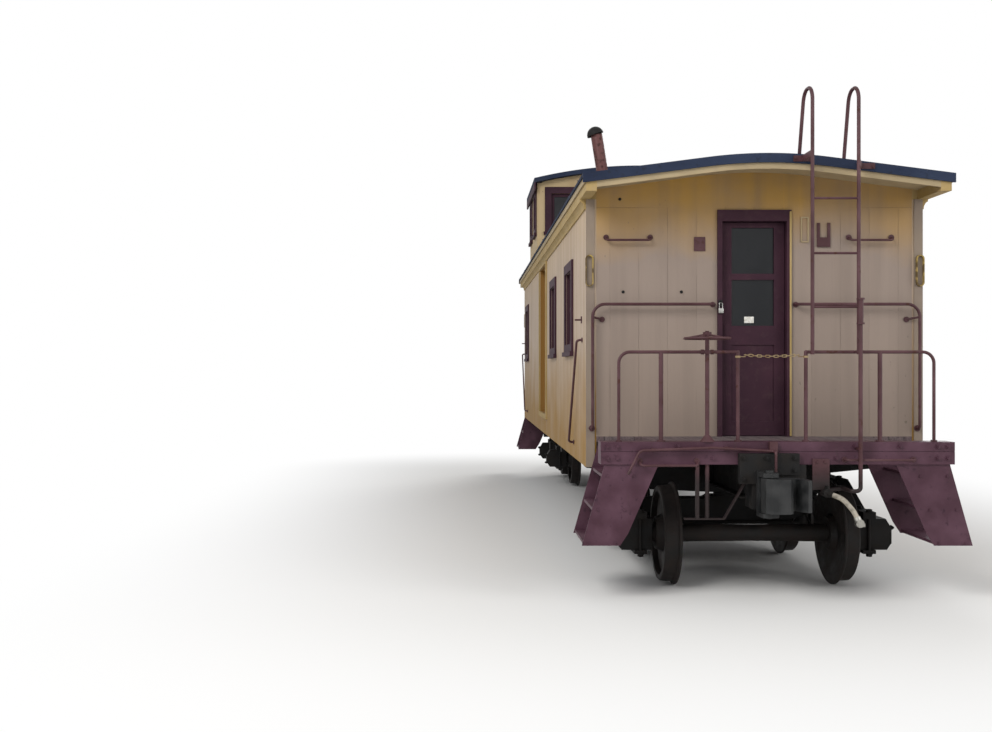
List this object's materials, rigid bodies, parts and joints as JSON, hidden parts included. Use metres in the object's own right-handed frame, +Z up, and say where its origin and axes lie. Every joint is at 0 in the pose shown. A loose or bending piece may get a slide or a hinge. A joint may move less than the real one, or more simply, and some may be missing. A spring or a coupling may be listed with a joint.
{
  "type": "wooden cupola caboose",
  "caption": "Wooden rail caboose with arched roof, cupola, end platforms, ladders, sliding side doors and arch-bar trucks.",
  "frame": {"origin": "middle of the car, at the bottom of the wheel flanges, which hang 28 mm below the railhead", "axes": "+Y along the car away from the pictured end, +X to the right seen from that end, +Z up"},
  "size_m": [3.14, 12.57, 4.8198],
  "materials": {
    "cream_wood": "brushed cream paint on boards",
    "yellow_trim": "yellow paint on mouldings",
    "maroon_wood": "maroon paint on joinery",
    "cream_iron": "cream paint on ironwork, rusting",
    "maroon_iron": "maroon paint on ironwork",
    "roof_felt": "dark blue-grey roofing, matt",
    "deck_wood": "worn dark floor boards",
    "black_iron": "black paint and brake dust",
    "coupler_steel": "weathered cast steel",
    "wheel_steel": "rusty steel, treads worn",
    "glass": "window glass",
    "hose_rubber": "weathered rubber",
    "chain_metal": "dull tan chain",
    "stack_iron": "rusty red sheet iron"
  },
  "bodies": {
    "car_body": {"air_hose": "hose_rubber", "backup_pipes": "maroon_iron", "brake_gear": "black_iron", "brake_staffs": "maroon_iron", "corner_boards": "cream_wood", "couplers": "coupler_steel", "cupola_fascias": "maroon_wood", "cupola_roof": "roof_felt", "cupola_walls": "cream_wood", "cut_levers": "maroon_iron", "eave_mouldings": "yellow_trim", "end_brackets": "maroon_iron", "end_door_casings": "maroon_wood", "end_sills": "maroon_iron", "end_wall_front": "cream_wood", "end_wall_rear": "cream_wood", "floor_decks": "deck_wood", "gate_chain": "chain_metal", "grab_irons": "maroon_iron", "hose_coupling": "coupler_steel", "marker_brackets": "cream_iron", "pipe_hangers": "maroon_iron", "platform_steps": "maroon_iron", "railings": "maroon_iron", "roof_boards": "cream_wood", "roof_covering": "roof_felt", "roof_ladders": "maroon_iron", "side_door_casings": "yellow_trim", "side_door_tracks": "black_iron", "side_sills": "black_iron", "side_wall_left": "cream_wood", "side_wall_right": "cream_wood", "smoke_cap": "black_iron", "smoke_pipe": "stack_iron", "strikers": "black_iron", "train_pipe": "black_iron", "underframe": "black_iron", "window_casings": "maroon_wood", "window_glass": "glass", "window_sashes": "maroon_wood"},
    "truck_front": {"brake_beams_front": "black_iron", "journal_boxes_front": "black_iron", "truck_bolster_front": "black_iron", "truck_frames_front": "black_iron"},
    "wheelset_front_outer": {"wheelset_front_outer": "wheel_steel"},
    "wheelset_front_inner": {"wheelset_front_inner": "wheel_steel"},
    "end_door_front": {"end_door_front": "maroon_wood", "end_door_glass_front": "glass"},
    "knuckle_front": {"knuckle_front": "coupler_steel"},
    "truck_rear": {"brake_beams_rear": "black_iron", "journal_boxes_rear": "black_iron", "truck_bolster_rear": "black_iron", "truck_frames_rear": "black_iron"},
    "wheelset_rear_outer": {"wheelset_rear_outer": "wheel_steel"},
    "wheelset_rear_inner": {"wheelset_rear_inner": "wheel_steel"},
    "end_door_rear": {"end_door_rear": "maroon_wood", "end_door_glass_rear": "glass"},
    "knuckle_rear": {"knuckle_rear": "coupler_steel"},
    "side_door_left": {"side_door_left": "yellow_trim"},
    "side_door_right": {"side_door_right": "yellow_trim"}
  },
  "joints": [
    {"name": "truck_front_swivel", "type": "hinge", "parent": "car_body", "child": "truck_front", "pos_m": [0, -4.24, 0.688], "axis": [0, 0, 1], "range_deg": [-4, 4]},
    {"name": "wheelset_front_outer_roll", "type": "hinge", "parent": "truck_front", "child": "wheelset_front_outer", "pos_m": [0, -5.078, 0.447], "axis": [1, 0, 0], "continuous": true},
    {"name": "wheelset_front_inner_roll", "type": "hinge", "parent": "truck_front", "child": "wheelset_front_inner", "pos_m": [0, -3.402, 0.447], "axis": [1, 0, 0], "continuous": true},
    {"name": "end_door_front_hinge", "type": "hinge", "parent": "car_body", "child": "end_door_front", "pos_m": [0.28, -5.0715, 2.2], "axis": [0, 0, -1], "range_deg": [0, 100]},
    {"name": "knuckle_front_pin", "type": "hinge", "parent": "car_body", "child": "knuckle_front", "pos_m": [-0.12, -6.135, 0.89], "axis": [0, 0, -1], "range_deg": [0, 40]},
    {"name": "truck_rear_swivel", "type": "hinge", "parent": "car_body", "child": "truck_rear", "pos_m": [0, 4.24, 0.688], "axis": [0, 0, 1], "range_deg": [-4, 4]},
    {"name": "wheelset_rear_outer_roll", "type": "hinge", "parent": "truck_rear", "child": "wheelset_rear_outer", "pos_m": [0, 5.078, 0.447], "axis": [1, 0, 0], "continuous": true},
    {"name": "wheelset_rear_inner_roll", "type": "hinge", "parent": "truck_rear", "child": "wheelset_rear_inner", "pos_m": [0, 3.402, 0.447], "axis": [1, 0, 0], "continuous": true},
    {"name": "end_door_rear_hinge", "type": "hinge", "parent": "car_body", "child": "end_door_rear", "pos_m": [-0.28, 5.0715, 2.2], "axis": [0, 0, -1], "range_deg": [0, 100]},
    {"name": "knuckle_rear_pin", "type": "hinge", "parent": "car_body", "child": "knuckle_rear", "pos_m": [0.12, 6.135, 0.89], "axis": [0, 0, -1], "range_deg": [0, 40]},
    {"name": "side_door_left_slide", "type": "slide", "parent": "car_body", "child": "side_door_left", "axis": [0, 1, 0], "range_m": [0, 1.24]},
    {"name": "side_door_right_slide", "type": "slide", "parent": "car_body", "child": "side_door_right", "axis": [0, 1, 0], "range_m": [0, 1.24]}
  ]
}
